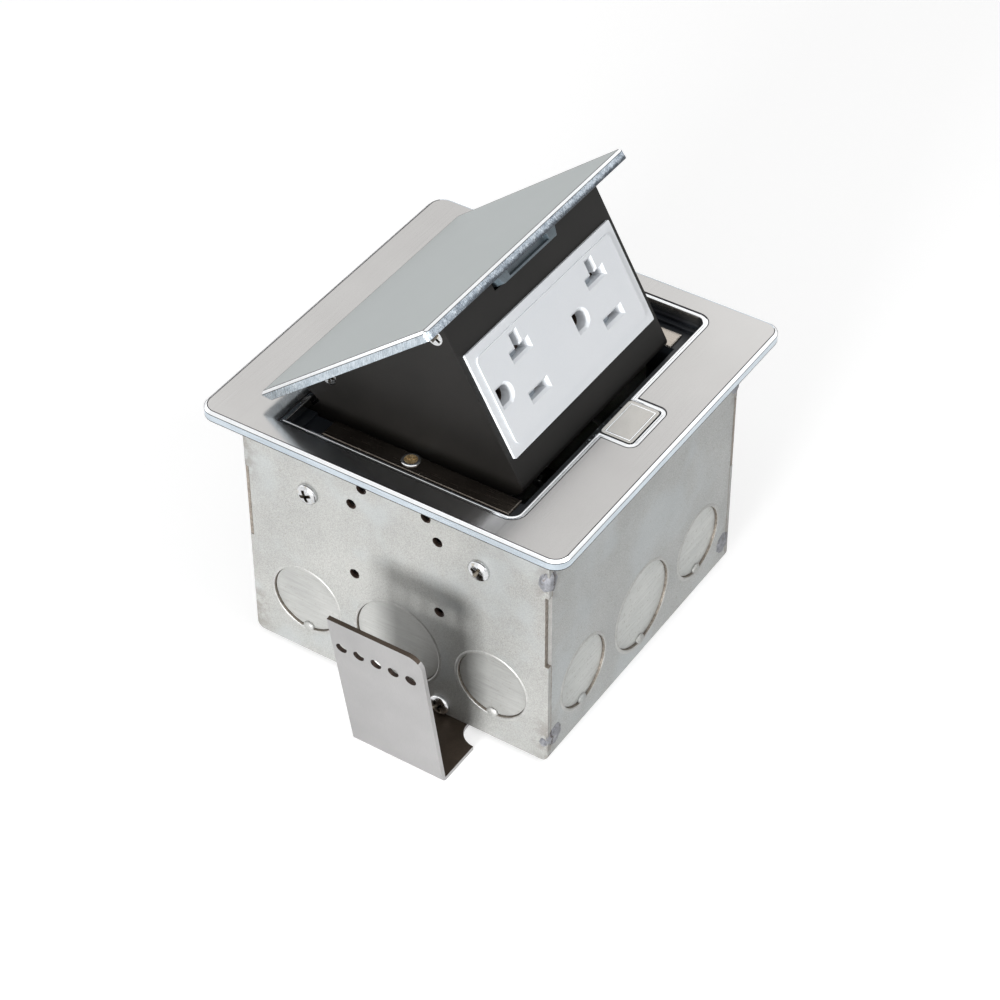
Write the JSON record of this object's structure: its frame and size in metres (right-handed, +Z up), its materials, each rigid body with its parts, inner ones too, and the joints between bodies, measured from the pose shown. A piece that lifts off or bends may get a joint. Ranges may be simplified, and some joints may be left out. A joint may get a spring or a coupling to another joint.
{
  "type": "pop-up countertop outlet",
  "caption": "Countertop outlet with a square flange, a sheet-metal box below and a spring-raised lid that carries a receptacle, released by a push button.",
  "frame": {"origin": "centre of the cover plate, on the underside of its gasket, where the flange rests on the worktop", "axes": "+Z up out of the worktop, +X along the hinge rod, -Y towards the push button"},
  "size_m": [0.163, 0.119, 0.1376],
  "materials": {
    "stainless": "brushed, bevelled edges polished",
    "lid_metal": "brushed, bevelled edges polished",
    "gasket_rubber": "matte",
    "black_plastic": "moulded",
    "slate_plastic": "moulded",
    "rail_nickel": "satin nickel",
    "galvanised": "galvanised sheet",
    "bracket_steel": "satin stainless sheet",
    "zinc": "zinc plated",
    "green_zinc": "green plated",
    "spring_steel": "bright wire",
    "button_nickel": "satin nickel",
    "latch_steel": "bright zinc",
    "black_sheet": "satin black coating",
    "white_plastic": "moulded",
    "grey_plastic": "moulded",
    "strap_steel": "galvanised strip",
    "brass": "bright"
  },
  "bodies": {
    "housing": {"cover_plate": "stainless", "flange_gasket": "gasket_rubber", "inner_frame": "black_plastic", "side_rail_left": "rail_nickel", "side_rail_right": "rail_nickel", "box_wrap": "galvanised", "box_side_left": "galvanised", "box_side_right": "galvanised", "knockouts_small": "galvanised", "knockouts_large": "galvanised", "bracket_left": "bracket_steel", "bracket_right": "bracket_steel", "box_screws": "zinc", "bracket_screws": "zinc", "rail_screws": "zinc", "ground_screw": "green_zinc", "hinge_rod": "spring_steel", "lift_spring_left": "spring_steel", "lift_spring_right": "spring_steel", "button_spring": "spring_steel", "latch_springs": "spring_steel"},
    "pop_up": {"lid": "lid_metal", "lid_bars": "black_sheet", "carrier": "black_sheet", "lid_screws": "zinc", "latch_catch": "slate_plastic", "receptacle_cover": "white_plastic", "receptacle_body": "grey_plastic", "receptacle_strap": "strap_steel", "strap_screws": "zinc", "hot_contact": "brass", "neutral_contact": "brass", "ground_contact": "brass", "brass_terminals": "brass", "silver_terminals": "zinc", "ground_terminal": "green_zinc"},
    "button": {"push_button": "button_nickel"},
    "latch": {"latch_bolt": "latch_steel"}
  },
  "joints": [
    {"name": "pop_up_hinge", "type": "hinge", "parent": "housing", "child": "pop_up", "pos_m": [0, 0.0452, -0.01], "axis": [1, 0, 0], "range_deg": [0, 39.3], "stiffness_Nm_per_rad": 0.1, "springref_deg": -148.97},
    {"name": "button_press", "type": "slide", "parent": "housing", "child": "button", "axis": [0, 0, -1], "range_m": [0, 0.0012], "stiffness_N_per_m": 800, "deforming": ["button_spring"]},
    {"name": "latch_slide", "type": "slide", "parent": "housing", "child": "latch", "axis": [0, -1, 0], "range_m": [0, 0.0012], "stiffness_N_per_m": 300, "deforming": ["latch_springs"]}
  ],
  "couplings": [
    {"joint": "latch_slide", "follows": "button_press", "ratio": 1}
  ]
}
